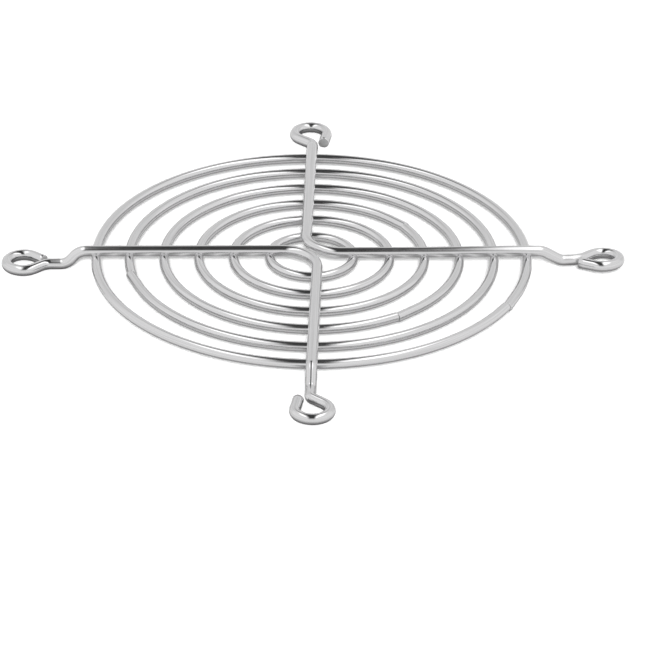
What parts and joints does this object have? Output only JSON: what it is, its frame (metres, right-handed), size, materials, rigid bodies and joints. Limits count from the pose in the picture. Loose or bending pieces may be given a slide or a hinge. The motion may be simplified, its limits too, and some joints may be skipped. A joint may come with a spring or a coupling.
{
  "type": "wire fan cover",
  "caption": "Round wire finger guard for a square axial fan: concentric rings welded under bent support wires that end in screw eyes.",
  "frame": {"origin": "centre of the guard on its mounting plane, the plane that the undersides of the screw eyes touch", "axes": "+Z away from the fan, towards the side that faces the fingers; X and Y along the sides of the square of screw holes"},
  "size_m": [0.0914, 0.0914, 0.0052],
  "materials": {
    "ring_wire": "bright plated drawn wire",
    "support_wire": "bright plated drawn wire"
  },
  "bodies": {
    "root": {"front_support": "support_wire", "rear_support": "support_wire", "outer_ring": "ring_wire", "second_ring": "ring_wire", "third_ring": "ring_wire", "fourth_ring": "ring_wire", "fifth_ring": "ring_wire", "inner_ring": "ring_wire"}
  },
  "joints": []
}
